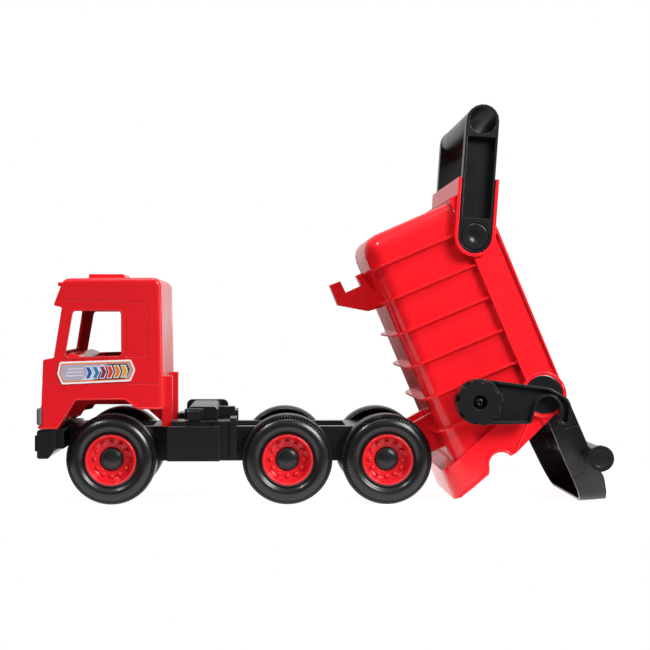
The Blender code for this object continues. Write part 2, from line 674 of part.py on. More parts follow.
def build():
    chassis = empty("chassis", (DATUM_X, 0.0))
    chassis_frame(chassis)
    front_bumper(chassis)
    bed_lock(chassis)
    tipping_pin(chassis)
    cab_shell(chassis)
    cab_fittings(chassis)
    for side in SIDES:
        tool_box(side, chassis)
    for axle in AXLE_XS:
        axle_rod(axle, chassis)
        for side in SIDES:
            wheel(axle, side, chassis)
    bed = empty("bed", BED_PIN, chassis, TIP_ANGLE)
    bed_tub(bed)
    carry_handle(bed)
    gate_pivot = empty("tailgate_pivot", GATE_PIVOT, bed, -GATE_OPEN)
    lever_pivot = empty("lever_pivot", LEVER_PIVOT, bed, -LEVER_OPEN)
    tailgate(gate_pivot)
    for side in SIDES:
        latch(side, lever_pivot)


build()
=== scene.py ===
"""The looks of the toy tipper truck: moulded plastic shells, wheels, knobs and labels, and a studio.

Lengths are in millimetres in the truck's own drawings: the chassis drawing measures X from DATUM, and
the bed drawing has the bed lying flat, with the tipping pin at its origin.
"""

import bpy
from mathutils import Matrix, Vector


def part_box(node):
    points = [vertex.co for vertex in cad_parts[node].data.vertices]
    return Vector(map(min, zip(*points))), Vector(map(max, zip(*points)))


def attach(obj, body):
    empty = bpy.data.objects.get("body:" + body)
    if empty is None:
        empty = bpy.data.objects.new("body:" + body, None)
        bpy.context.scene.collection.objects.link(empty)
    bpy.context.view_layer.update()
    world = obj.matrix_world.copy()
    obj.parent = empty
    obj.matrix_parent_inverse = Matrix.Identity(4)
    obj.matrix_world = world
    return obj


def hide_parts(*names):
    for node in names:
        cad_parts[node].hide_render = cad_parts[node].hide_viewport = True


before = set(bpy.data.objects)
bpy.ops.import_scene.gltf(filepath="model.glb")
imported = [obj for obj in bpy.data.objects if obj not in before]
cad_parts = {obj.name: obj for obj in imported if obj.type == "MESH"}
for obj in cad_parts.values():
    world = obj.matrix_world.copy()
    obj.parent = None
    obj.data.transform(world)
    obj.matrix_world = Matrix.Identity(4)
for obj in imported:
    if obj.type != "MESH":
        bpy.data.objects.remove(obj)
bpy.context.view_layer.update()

import math

import bmesh
import bpy
from mathutils import Matrix, Vector

MM = 0.001
SIDES = {"left": -1, "right": 1}
AXLES = ("front", "middle", "rear")

# Places and sizes in the drawings, in millimetres or degrees.
MIDDLE_AXLE_X = 25.4
TIP_ANGLE = 67.0
CAB_HALF = 71.0
CAB_ROUND = 4.0
CAB_BELT = 105.0
CAB_CLEAR = 76.0
GATE_PIVOT = (6.4, 131.9)
GATE_OPEN = 70.0
GATE_LIP_R = 18.5
PEG = (48.2, 76.8)
PEG_NOTCH_R = 11.4
PEG_END_R = 9.8
SCALLOPS = 8

# Details of the surfaces.
SHARP = math.radians(32.0)
MITRE_LIMIT = 0.4
TREAD_NOTCHES = 96
NOTCH_STEPS = 5
NOTCH_FLOOR = 7.6
SHOULDER = (35.2, 38.4)
BOLTS = 12
BOLT_CIRCLE = 14.6
BOLT_SIDES = 16
FINS = 8


def box_mm(name):
    """The lowest and highest corners of a CAD node, in millimetres."""
    return tuple(corner * 1000 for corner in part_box(name))


def middle(name):
    """The middle of a CAD node's box, in millimetres."""
    low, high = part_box(name)
    return (low + high) * 500


DATUM = middle("middle_axle").x - MIDDLE_AXLE_X
HINGE = middle("tipping_pin")
BED = Matrix.Translation(HINGE * MM) @ Matrix.Rotation(math.radians(TIP_ANGLE), 4, "Y")


# ---------------------------------------------------------------- materials


def node(tree, kind, **values):
    """A shader node with its inputs or settings filled in."""
    made = tree.nodes.new(kind)
    for key, value in values.items():
        if key in made.inputs:
            made.inputs[key].default_value = value
        else:
            setattr(made, key, value)
    return made


def maths(tree, operation, first, second):
    """Two values brought together by one operation."""
    made = node(tree, "ShaderNodeMath", operation=operation)
    tree.links.new(first, made.inputs[0])
    tree.links.new(second, made.inputs[1])
    return made.outputs[0]


def new_material(name):
    """A new material, with its node tree, its shader and its coordinates."""
    made = bpy.data.materials.new(name)
    made.use_nodes = True
    tree = made.node_tree
    return made, tree, tree.nodes["Principled BSDF"], node(tree, "ShaderNodeTexCoord")


def noise(tree, where, scale, detail=2.0, stretch=None):
    """Noise in the object's own space, in cycles per metre, stretched along an axis if asked."""
    source = where.outputs["Object"]
    if stretch:
        scaled = node(tree, "ShaderNodeMapping")
        scaled.inputs["Scale"].default_value = stretch
        tree.links.new(source, scaled.inputs["Vector"])
        source = scaled.outputs["Vector"]
    grain = node(tree, "ShaderNodeTexNoise", Scale=scale, Detail=detail)
    tree.links.new(source, grain.inputs["Vector"])
    return grain.outputs["Fac"]


def spread(tree, source, low, high, start=0.3, end=0.7):
    """A value between low and high as the source goes from start to end."""
    ranged = node(tree, "ShaderNodeMapRange")
    for key, value in (("From Min", start), ("From Max", end), ("To Min", low), ("To Max", high)):
        ranged.inputs[key].default_value = value
    tree.links.new(source, ranged.inputs["Value"])
    return ranged.outputs["Result"]


def blend(tree, factor, first, second):
    """A colour between two, each a colour or a socket."""
    mix = node(tree, "ShaderNodeMix", data_type="RGBA")
    tree.links.new(factor, mix.inputs["Factor"])
    for slot, colour in ((6, first), (7, second)):
        if isinstance(colour, bpy.types.NodeSocket):
            tree.links.new(colour, mix.inputs[slot])
        else:
            mix.inputs[slot].default_value = (*colour, 1.0)
    return mix.outputs[2]


def highlit_worn_edges(tree, body, wear_and_highlight, radius):
    """Edges rounded in the shading, and painted paler, as rubbing and as a painted highlight along them: the
    round's normal, and the colour.
    """
    soft = node(tree, "ShaderNodeBevel", samples=4, Radius=radius * MM)
    shape = node(tree, "ShaderNodeNewGeometry")
    turned = node(tree, "ShaderNodeVectorMath", operation="DOT_PRODUCT")
    tree.links.new(soft.outputs["Normal"], turned.inputs[0])
    tree.links.new(shape.outputs["Normal"], turned.inputs[1])
    # The edge mask paints the paler colour along every edge: partly rubbing, partly a painted highlight.
    edge = spread(tree, turned.outputs["Value"], 0.35, 0.0, 0.80, 0.97)
    return soft.outputs["Normal"], blend(tree, edge, body, wear_and_highlight)


def moulded(name, colour, shade, wear_and_highlight, rough, spec=0.4, edges=0.6):
    """Injection-moulded plastic: flow marks in its colour, fine orange peel, scuffs, and edges painted
    paler, as rubbing and as a painted highlight along them.

    The edges' radius is in millimetres, and 0 leaves them as the mesh has them.
    """
    peel = 0.02 * MM
    swirl = 0.04
    made, tree, shader, where = new_material(name)
    flow = noise(tree, where, 9.0, 4.0, (1.0, 1.6, 0.7))
    body = blend(tree, spread(tree, flow, 0.0, 1.0), colour, shade)
    skin = node(tree, "ShaderNodeBump", Strength=0.2, Distance=peel)
    tree.links.new(noise(tree, where, 330.0, 2.0), skin.inputs["Height"])
    if edges:
        rounded, body = highlit_worn_edges(tree, body, wear_and_highlight, edges)
        tree.links.new(rounded, skin.inputs["Normal"])
    tree.links.new(skin.outputs["Normal"], shader.inputs["Normal"])
    tree.links.new(body, shader.inputs["Base Color"])
    scuff = noise(tree, where, 160.0, 5.0, (1.0, 0.5, 1.6))
    patch = noise(tree, where, 24.0, 3.0)
    both = node(tree, "ShaderNodeMath", operation="MULTIPLY_ADD")
    tree.links.new(spread(tree, scuff, -swirl, swirl, 0.35, 0.75), both.inputs[0])
    both.inputs[1].default_value = 0.5
    tree.links.new(spread(tree, patch, rough - swirl, rough + swirl), both.inputs[2])
    tree.links.new(both.outputs[0], shader.inputs["Roughness"])
    shader.inputs["Specular IOR Level"].default_value = spec
    return made


def drawn_steel(name):
    """Cold-drawn rod: fine rings round it and a dull zinc patchiness."""
    made, tree, shader, where = new_material(name)
    dull = noise(tree, where, 55.0, 4.0)
    tree.links.new(blend(tree, dull, (0.52, 0.52, 0.53), (0.38, 0.38, 0.40)), shader.inputs["Base Color"])
    lines = noise(tree, where, 700.0, 3.0, (1.0, 0.05, 1.0))
    tree.links.new(spread(tree, lines, 0.24, 0.42), shader.inputs["Roughness"])
    shader.inputs["Metallic"].default_value = 1.0
    return made


def printed(name, first, second, across):
    """Printed film: ink that fades along X between two places, in metres, with a fine dot grain."""
    made, tree, shader, where = new_material(name)
    split = node(tree, "ShaderNodeSeparateXYZ")
    tree.links.new(where.outputs["Object"], split.inputs["Vector"])
    fade = spread(tree, split.outputs["X"], 0.0, 1.0, *across)
    ink = blend(tree, fade, first, second)
    dots = noise(tree, where, 1500.0, 1.0)
    darker = tuple(0.82 * value for value in second)
    tree.links.new(blend(tree, spread(tree, dots, 0.0, 0.22), ink, darker), shader.inputs["Base Color"])
    tree.links.new(spread(tree, noise(tree, where, 80.0), 0.22, 0.36), shader.inputs["Roughness"])
    shader.inputs["Coat Weight"].default_value = 0.35
    shader.inputs["Coat Roughness"].default_value = 0.12
    return made


# Each plastic's third colour is painted along its edges, as rubbing and as a painted highlight; the cab's
# and the black's wider edges carry more of this painted highlight.
RED = moulded("red_gloss", (0.94, 0.013, 0.023), (0.90, 0.012, 0.020), (0.95, 0.06, 0.065), 0.19)
CAB_RED = moulded(
    "cab_red_gloss", (0.68, 0.012, 0.019), (0.64, 0.011, 0.017), (0.95, 0.075, 0.08), 0.21, edges=1.3,
)
BLACK = moulded(
    "black_satin", (0.012, 0.012, 0.013), (0.0105, 0.0105, 0.011), (0.036, 0.036, 0.038), 0.25,
    spec=0.42, edges=0.8,
)
TYRE = moulded(
    "tyre_satin", (0.0085, 0.0087, 0.0094), (0.007, 0.007, 0.0073), (0.022, 0.022, 0.023), 0.27,
    spec=0.5, edges=0,
)
GREY = moulded("lamp_grey", (0.13, 0.115, 0.115), (0.11, 0.10, 0.10), (0.20, 0.19, 0.19), 0.34)
STEEL = drawn_steel("axle_steel_drawn")
WHITE_FILM = printed("label_white", (0.82, 0.82, 0.85), (0.74, 0.74, 0.78), (-0.22, -0.16))


# ---------------------------------------------------------------- mesh tools


def add_object(mesh, name):
    made = bpy.data.objects.new(name, mesh)
    bpy.context.scene.collection.objects.link(made)
    return made


def evaluated_mesh(thing):
    """A copy of a piece's mesh with its modifiers, or its curve's thickness, applied."""
    bpy.context.view_layer.update()
    graph = bpy.context.evaluated_depsgraph_get()
    return bpy.data.meshes.new_from_object(thing.evaluated_get(graph))


def fillet(corners, step=15.0):
    """An outline from its corners, each (a, b) or (a, b, radius), with every radius an arc."""
    outline = []
    for i, corner in enumerate(corners):
        here = Vector(corner[:2])
        if len(corner) == 2:
            outline.append(here)
            continue
        back = (Vector(corners[i - 1][:2]) - here).normalized()
        ahead = (Vector(corners[(i + 1) % len(corners)][:2]) - here).normalized()
        half = back.angle(ahead) / 2
        reach = corner[2] / math.tan(half)
        centre = here + (back + ahead).normalized() * corner[2] / math.sin(half)
        start = here + back * reach - centre
        turn = start.angle_signed(here + ahead * reach - centre)
        count = max(2, math.ceil(abs(math.degrees(turn)) / step))
        for k in range(count + 1):
            outline.append(centre + Matrix.Rotation(-turn * k / count, 2) @ start)
    return outline


def prism(outline, low, high, name="prism", holes=()):
    """A flat outline of (x, z) points in millimetres, as thick as low to high along Y."""
    curve = bpy.data.curves.new(name, "CURVE")
    curve.dimensions = "2D"
    curve.fill_mode = "BOTH"
    curve.extrude = (high - low) / 2 * MM
    for loop in (outline, *holes):
        spline = curve.splines.new("POLY")
        spline.points.add(len(loop) - 1)
        spline.use_cyclic_u = True
        for point, place in zip(spline.points, loop):
            point.co = (place[0] * MM, place[1] * MM, 0.0, 1.0)
    drawn = add_object(curve, name)
    mesh = evaluated_mesh(drawn)
    bpy.data.objects.remove(drawn)
    turn = Matrix(((1, 0, 0), (0, 0, -1), (0, 1, 0))).to_4x4()
    mesh.transform(Matrix.Translation((0, (low + high) / 2 * MM, 0)) @ turn)
    tidy(mesh, 1e-6)
    return add_object(mesh, name)


def block(x, y, z):
    """A box in millimetres: each argument is (low, high)."""
    mesh = bpy.data.meshes.new("block")
    work = bmesh.new()
    bmesh.ops.create_cube(work, size=1.0)
    size = [(high - low) * MM for low, high in (x, y, z)]
    centre = [(high + low) / 2 * MM for low, high in (x, y, z)]
    work.transform(Matrix.Translation(centre) @ Matrix.Diagonal((*size, 1.0)))
    work.to_mesh(mesh)
    work.free()
    return add_object(mesh, "block")


def strip(path, width, closed=False):
    """The two sides of a band of one width along a path of (x, z) points."""
    path = [Vector(point[:2]) for point in path]
    sides = ([], [])
    for i, here in enumerate(path):
        back = here - path[i - 1] if i or closed else path[1] - here
        ahead = path[(i + 1) % len(path)] - here if i < len(path) - 1 or closed else back
        first, second = (Vector((-run.y, run.x)).normalized() for run in (back, ahead))
        out = (first + second).normalized()
        out *= width / 2 / max(MITRE_LIMIT, out.dot(first))
        sides[0].append(here + out)
        sides[1].append(here - out)
    return sides


def band(path, width, low, high, closed=False):
    """A band along a path, as thick as low to high along Y."""
    left, right = strip(path, width, closed)
    if closed:
        return prism(left, low, high, holes=(right,))
    return prism(left + right[::-1], low, high)


def bead(points, radius, closed=False):
    """A round bead through points in millimetres."""
    curve = bpy.data.curves.new("bead", "CURVE")
    curve.dimensions = "3D"
    curve.bevel_depth = radius * MM
    curve.bevel_resolution = 5
    curve.use_fill_caps = True
    spline = curve.splines.new("POLY")
    spline.points.add(len(points) - 1)
    spline.use_cyclic_u = closed
    for point, place in zip(spline.points, points):
        point.co = (*(Vector(place) * MM), 1.0)
    drawn = add_object(curve, "bead")
    mesh = evaluated_mesh(drawn)
    bpy.data.objects.remove(drawn)
    mesh.shade_smooth()
    mesh.set_sharp_from_angle(angle=math.radians(50))
    return add_object(mesh, "bead")


def tidy(mesh, weld):
    """Points closer than weld made one, and every face pointing out."""
    work = bmesh.new()
    work.from_mesh(mesh)
    bmesh.ops.remove_doubles(work, verts=work.verts, dist=weld)
    bmesh.ops.recalc_face_normals(work, faces=work.faces)
    work.to_mesh(mesh)
    work.free()


def combine(base, tool, operation="DIFFERENCE"):
    """The base after an exact boolean with the tool, which it uses up."""
    step = base.modifiers.new(operation.lower(), "BOOLEAN")
    step.operation = operation
    step.object = tool
    step.solver = "EXACT"
    mesh = evaluated_mesh(base)
    base.modifiers.clear()
    base.data = mesh
    bpy.data.objects.remove(tool)
    return base


def softened(piece, width, segments=2):
    """Real moulded edges: a small round on every sharp edge, with flat faces kept flat."""
    piece.data.shade_smooth()
    piece.data.set_sharp_from_angle(angle=SHARP)
    bevel = piece.modifiers.new("edges", "BEVEL")
    bevel.width = width * MM
    bevel.segments = segments
    bevel.limit_method = "ANGLE"
    bevel.angle_limit = SHARP
    bevel.use_clamp_overlap = True
    level = piece.modifiers.new("flats", "WEIGHTED_NORMAL")
    level.mode = "FACE_AREA"
    level.weight = 90
    level.keep_sharp = True


def dress(piece, name, look, body):
    """Name a piece, give it its material, and let it ride on its body."""
    piece.name = name
    piece.data.name = name
    piece.data.materials.clear()
    piece.data.materials.append(look)
    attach(piece, body)
    return piece


def refined(name, look, width, body, cutters=(), within=None):
    """The CAD shape with clean faces, kept within a rounder form, with lines cut in and edges rounded."""
    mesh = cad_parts[name].data.copy()
    mesh.materials.clear()
    work = bmesh.new()
    work.from_mesh(mesh)
    bmesh.ops.remove_doubles(work, verts=work.verts, dist=2e-6)
    bmesh.ops.dissolve_limit(work, angle_limit=math.radians(0.6), verts=work.verts, edges=work.edges)
    work.to_mesh(mesh)
    work.free()
    if mesh.attributes.get("custom_normal"):
        mesh.attributes.remove(mesh.attributes["custom_normal"])
    piece = add_object(mesh, name)
    if within:
        combine(piece, within, "INTERSECT")
    for cutter in cutters:
        combine(piece, cutter)
    softened(piece, width)
    dress(piece, f"{name}_moulded", look, body)
    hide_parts(name)


# ---------------------------------------------------------------- wheels


def lathe(profile, steps, centre, sign, carve=None):
    """A closed profile of (radius, y) points, in millimetres, turned about an axis along Y.

    The centre is in metres. carve moves a point at each step of the turn.
    """
    mesh = bpy.data.meshes.new("lathe")
    work = bmesh.new()
    rings = []
    for k in range(steps):
        angle = math.tau * k / steps
        ring = []
        for radius, y in profile:
            if carve:
                radius, y = carve(radius, y, k)
            ring.append(work.verts.new((
                radius * MM * math.cos(angle), sign * y * MM, radius * MM * math.sin(angle),
            )))
        rings.append(ring)
    count = len(profile)
    for k in range(steps):
        here, there = rings[k], rings[(k + 1) % steps]
        for i in range(count):
            work.faces.new((here[i], here[(i + 1) % count], there[(i + 1) % count], there[i]))
    bmesh.ops.remove_doubles(work, verts=work.verts, dist=1e-7)
    bmesh.ops.recalc_face_normals(work, faces=work.faces)
    work.transform(Matrix.Translation(centre))
    work.to_mesh(mesh)
    work.free()
    mesh.shade_smooth()
    mesh.set_sharp_from_angle(angle=math.radians(42))
    return add_object(mesh, "lathe")


def shoulder_notches(radius, y, step):
    """Fine slots in the tyre's sloping shoulder, with flat floors: two steps up, three steps down."""
    if SHOULDER[0] < radius < SHOULDER[1] and y > 7.5 and step % NOTCH_STEPS > 1:
        return radius, NOTCH_FLOOR
    return radius, y


def tyre_profile():
    """A tyre's section: its lip, a round side wall, a shoulder, two tread bands, and the hollow back."""
    crown, crown_radius, half_width, drop = 13.0, 29.8, 5.4, 2.2
    radii = (26.4, *(27.2 + step for step in range(8)), 35.0)
    wall = [(radius, crown - ((radius - crown_radius) / half_width) ** 2 * drop) for radius in radii]
    return fillet([
        (21.95, 9.6), (23.6, 9.4, 0.5), (24.6, 10.9, 0.6), (25.6, 11.4, 0.4), *wall,
        (35.3, 10.4), (36.8, 9.9, 0.9), (38.3, 7.6, 0.5), (39.0, 5.6, 1.2), (39.0, 1.2, 0.3),
        (38.3, 0.9), (38.3, -1.9), (39.0, -2.2, 0.3),
        (39.0, -9.0, 2.5), (37.4, -13.0, 1.4), (35.7, -13.0, 0.4), (35.6, 6.6, 3.0), (31.0, 9.2, 2.0),
        (26.6, 8.8, 1.0), (24.4, 7.4, 0.8), (24.4, -3.0), (7.4, -3.0), (7.4, -12.6), (3.5, -12.6),
        (3.5, -0.6), (21.95, -0.6),
    ], 14)


def rim_profile():
    """A rim's section: its rounded ring, the slope of its dish, its flat face, and its sleeve."""
    return fillet([
        (21.75, 12.5, 0.4), (20.3, 12.8, 0.5), (19.7, 11.9, 0.4), (17.5, 4.0, 1.6), (13.5, 3.0),
        (10.8, 2.9, 0.3), (10.4, 2.2), (10.2, 1.6), (4.0, 1.6), (4.0, -0.2), (21.75, -0.2),
    ], 14)


def cap_profile():
    """A hub cap's section: a low dome, a groove, and a round rim."""
    return [
        (0.0, 5.6), (1.8, 5.56), (3.6, 5.42), (5.2, 5.15), (6.6, 4.78), (7.7, 4.35), (8.05, 4.15),
        (8.3, 4.25), (8.7, 4.4), (9.2, 4.25), (9.6, 3.85), (9.8, 3.3), (9.85, 2.6), (9.85, 2.0), (0.0, 2.0),
    ]


def wheel_bolts(centre, sign):
    """Low domed bolt heads in a ring on the rim's face."""
    mesh = bpy.data.meshes.new("bolts")
    work = bmesh.new()
    crown = 5.5
    head = [(1.0, 5.4), (1.7, 5.0), (2.05, 4.4), (2.2, 2.6)]
    turns = [math.tau * k / BOLT_SIDES for k in range(BOLT_SIDES)]
    for number in range(BOLTS):
        angle = math.tau * number / BOLTS
        x, z = BOLT_CIRCLE * math.cos(angle), BOLT_CIRCLE * math.sin(angle)
        rings = []
        for radius, y in head:
            rings.append([
                work.verts.new((
                    (x + radius * math.cos(turn)) * MM, sign * y * MM, (z + radius * math.sin(turn)) * MM,
                )) for turn in turns
            ])
        top = work.verts.new((x * MM, sign * crown * MM, z * MM))
        for k in range(BOLT_SIDES):
            after = (k + 1) % BOLT_SIDES
            work.faces.new((top, rings[0][k], rings[0][after]))
            for low, high in zip(rings, rings[1:]):
                work.faces.new((low[k], high[k], high[after], low[after]))
        work.faces.new(rings[-1])
    bmesh.ops.recalc_face_normals(work, faces=work.faces)
    work.transform(Matrix.Translation(centre))
    work.to_mesh(mesh)
    work.free()
    mesh.shade_smooth()
    return add_object(mesh, "bolts")


def wheel_fins(centre, sign):
    """Thin fins behind the wheel, from its hub to its tread."""
    mesh = bpy.data.meshes.new("fins")
    work = bmesh.new()
    size = Matrix.Diagonal((28.6 * MM, 7.6 * MM, 1.3 * MM, 1.0))
    place = Matrix.Translation((21.4 * MM, sign * -7.0 * MM, 0))
    for number in range(FINS):
        made = bmesh.ops.create_cube(work, size=1.0)["verts"]
        turn = Matrix.Rotation(math.tau * number / FINS, 4, "Y")
        bmesh.ops.transform(work, matrix=turn @ place @ size, verts=made)
    work.transform(Matrix.Translation(centre))
    work.to_mesh(mesh)
    work.free()
    return add_object(mesh, "fins")


def build_wheel(axle, side):
    """A notched tyre, a dished rim and a domed hub cap in place of the CAD's, with bolts and fins."""
    sign = SIDES[side]
    low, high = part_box(f"{axle}_tyre_{side}")
    centre = (low + high) / 2
    body = f"{axle}_wheel_{side}"
    for part, ending, look, profile, steps, carve in (
        ("tyre", "tread", TYRE, tyre_profile(), TREAD_NOTCHES * NOTCH_STEPS, shoulder_notches),
        ("rim", "dish", CAB_RED, rim_profile(), 96, None),
        ("hub_cap", "dome", BLACK, cap_profile(), 64, None),
    ):
        name = f"{axle}_{part}_{side}"
        piece = dress(lathe(profile, steps, centre, sign, carve), f"{name}_{ending}", look, body)
        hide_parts(name)
    dress(wheel_bolts(centre, sign), f"{axle}_bolts_{side}", CAB_RED, body)
    dress(wheel_fins(centre, sign), f"{axle}_fins_{side}", TYRE, body)


# ---------------------------------------------------------------- cab


def cab_skin(sign, depth):
    """From a depth inside one cab side to clear of it, along Y."""
    return sorted((sign * (CAB_HALF - depth), sign * CAB_CLEAR))


def cab_line(path, closed=False):
    """A fine line pressed into both cab sides along a path in the chassis drawing."""
    width, depth = 0.45, 0.30
    moved = [Vector((point[0] + DATUM, point[1])) for point in path]
    return [band(moved, width, *cab_skin(sign, depth), closed) for sign in (-1, 1)]


def seam():
    """The cab's parting line at its belt, as shallow cuts in both sides, the legs and the front."""
    width, depth = 0.55, 0.35
    low, high = box_mm("cab_shell")
    front, rear = DATUM - 183.5, high.x
    around = (CAB_BELT - width / 2, CAB_BELT + width / 2)
    cuts = [block((low.x - 5, rear + 5), cab_skin(sign, depth), around) for sign in (-1, 1)]
    cuts.append(block((rear - depth, rear + 5), (-CAB_CLEAR, CAB_CLEAR), around))
    cuts.append(block((low.x - 5, front + depth), (-CAB_CLEAR, CAB_CLEAR), around))
    return cuts


def cab_lines():
    """The door's outline, its quarter panel, and the cab's parting line, cut into the shell."""
    panel = fillet([(-112.4, 128.0, 3), (-93.9, 128.0, 5), (-93.9, 175.0, 5), (-112.4, 175.0, 2)])
    cutters = cab_line(panel, closed=True)
    cutters += cab_line([(-171.5, 176.6), (-140.0, 176.0), (-112.4, 175.0)])
    cutters += cab_line([(-167.5, 125.9), (-112.4, 125.9)])
    return cutters + seam()


def cab_form():
    """A solid round the cab that rounds its long edges: roof to sides, and rear wall to sides.

    It has room for the legs, and its flat faces stand clear of the cab's own.
    """
    clear = 0.02
    wall = fillet([(-79.3, 20.0), (-82.6, 195.6, 7.0), (-230.0, 194.5), (-230.0, 20.0)], 9.0)
    turns = [math.radians(angle) for angle in range(0, 91, 15)]
    right = [
        (CAB_HALF - CAB_ROUND + CAB_ROUND * math.sin(turn), CAB_ROUND * (1 - math.cos(turn)))
        for turn in turns
    ]
    right.append((CAB_HALF + 4.0, CAB_ROUND))
    left = [(-y, sunk) for y, sunk in right[::-1]]
    work = bmesh.new()
    loops = []
    for y, sunk in left + right:
        inner, outer = sorted(
            strip(wall, 2 * abs(sunk - clear), True), key=lambda loop: max(point.x for point in loop),
        )
        ring = inner if sunk > clear else outer
        loops.append([work.verts.new(Vector((point.x + DATUM, y, point.y)) * MM) for point in ring])
    for first, second in zip(loops, loops[1:]):
        for i, corner in enumerate(first):
            work.faces.new((corner, first[i - 1], second[i - 1], second[i]))
    work.faces.new(loops[0])
    work.faces.new(loops[-1][::-1])
    mesh = bpy.data.meshes.new("cab_form")
    work.to_mesh(mesh)
    work.free()
    tidy(mesh, 1e-7)
    legs = block((DATUM - 95.0, DATUM - 60.0), (-55.0, 55.0), (25.0, 115.0))
    return combine(add_object(mesh, "cab_form"), legs, "UNION")


def cab_beads(name, path, radius, sunk, closed=False):
    """A bead on both cab sides, along a path in the chassis drawing."""
    for side, sign in SIDES.items():
        run = [(point.x + DATUM, sign * (CAB_HALF - sunk), point.y) for point in path]
        dress(bead(run, radius, closed), f"{name}_{side}", CAB_RED, "chassis")


def build_cab():
    """The shell and its fittings, with lips round the wheel arches and the side windows."""
    refined("cab_shell", CAB_RED, 0.7, "chassis", cab_lines(), cab_form())
    refined("roof_hatch", CAB_RED, 0.8, "chassis")
    refined("dashboard", CAB_RED, 0.6, "chassis")
    arch = fillet([
        (-183.4, 67.4), (-171.6, 67.4, 1.5), (-155.6, 92.0, 5), (-113.0, 92.4, 7), (-102.6, 84.3, 4),
        (-81.4, 84.3),
    ])
    cab_beads("arch_lip", arch, 0.75, 0.35)
    window = fillet([(-158.2, 167.8, 3.8), (-115.8, 167.8, 3.8), (-115.6, 128.2, 3.8), (-165.3, 126.8, 3.8)])
    cab_beads("window_lip", window, 0.5, 0.25, closed=True)
    for side in SIDES:
        refined(f"headlight_{side}", GREY, 0.8, "chassis")


def label_print(side):
    """A generic print: an orange line, a fading field, a glare, a road band, chevrons and stripes."""
    sign = SIDES[side]
    low, high = box_mm(f"side_label_{side}")
    face = high.y if sign > 0 else low.y
    layer, sunk = 0.035, 0.05
    outline = [
        (-170.6, 113.5), (-168.5, 123.8), (-108.0, 125.8), (-104.2, 117.0), (-108.2, 107.4), (-166.6, 104.6),
    ]
    layers = []

    def inside(margin, radius):
        """The label's outline, moved in."""
        inner = strip(outline, 2 * margin, True)
        smaller = min(inner, key=lambda loop: max(p.x for p in loop) - min(p.x for p in loop))
        return fillet([(p.x + DATUM, p.y, radius) for p in smaller])

    def sheet(points, lift, look, name):
        """One layer of ink, as many layers up as its lift."""
        ends = sorted((face - sign * sunk, face + sign * (lift + 1) * layer))
        piece = prism(points, *ends, name)
        piece.data.materials.append(look)
        layers.append(piece)

    def at(u, v):
        """A point of the label: u along it and v up it, from 0 to 1, leaning as its base does."""
        return Vector((-170.6 + DATUM + 66.4 * u, 104.6 + 1.6 * u + v * (19.2 + 0.4 * u)))

    ramp = ((DATUM - 168.0) * MM, (DATUM - 118.0) * MM)
    orange = printed("label_orange", (0.76, 0.20, 0.02), (0.72, 0.16, 0.02), ramp)
    field = printed("label_field", (0.42, 0.38, 0.47), (0.36, 0.33, 0.42), ramp)
    road = printed("label_road", (0.10, 0.075, 0.09), (0.05, 0.035, 0.045), ramp)
    pale = printed("label_pale", (0.64, 0.62, 0.70), (0.50, 0.48, 0.58), ramp)
    sheet(inside(1.5, 1.2), 0, orange, "line")
    sheet(inside(2.7, 0.9), 1, field, "field")
    sheet([at(0.30, 0.16), at(0.46, 0.16), at(0.66, 0.50), at(0.58, 0.84)], 2, pale, "glare")
    band_line = [
        at(0.46, 0.16), at(0.86, 0.17), at(0.915, 0.42), at(0.93, 0.60), at(0.885, 0.845), at(0.64, 0.84),
    ]
    sheet(band_line, 2, road, "road")
    inks = (
        (0.02, 0.10, 0.40), (0.02, 0.20, 0.45), (0.30, 0.02, 0.10), (0.70, 0.05, 0.03), (0.78, 0.22, 0.02),
        (0.80, 0.42, 0.03),
    )
    for number, ink in enumerate(inks):
        look = printed(f"label_ink_{side}_{number}", ink, tuple(0.8 * value for value in ink), ramp)
        rim = printed(f"label_rim_{side}_{number}", (0.80, 0.80, 0.84), (0.74, 0.74, 0.80), ramp)
        u, v = 0.365 + 0.090 * number, 0.23 + 0.006 * number
        tip, wide, tall = 0.032, 0.050, 0.50
        for g, lift, ink_look, name in ((0.009, 3, rim, "rim"), (0.0, 4, look, "chevron")):
            h = 3.2 * g
            chevron = [
                at(u - g, v - h), at(u + tip - g, v + tall / 2), at(u - g, v + tall + h),
                at(u + wide + g, v + tall + h), at(u + wide + tip + g, v + tall / 2),
                at(u + wide + g, v - h),
            ]
            sheet(chevron, lift, ink_look, f"{name}_{number}")
    for number in range(3):
        u, v = 0.10 + 0.02 * number, 0.34 + 0.15 * number
        stripe = [at(u, v), at(0.33, v), at(0.34, v + 0.06), at(u + 0.01, v + 0.06)]
        sheet(stripe, 3, pale, f"stripe_{number}")
    for piece in layers:
        piece.name = f"label_{side}_{piece.name.split('.')[0]}"
        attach(piece, "chassis")
    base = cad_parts[f"side_label_{side}"]
    base.data.materials.clear()
    base.data.materials.append(WHITE_FILM)


# ---------------------------------------------------------------- bed


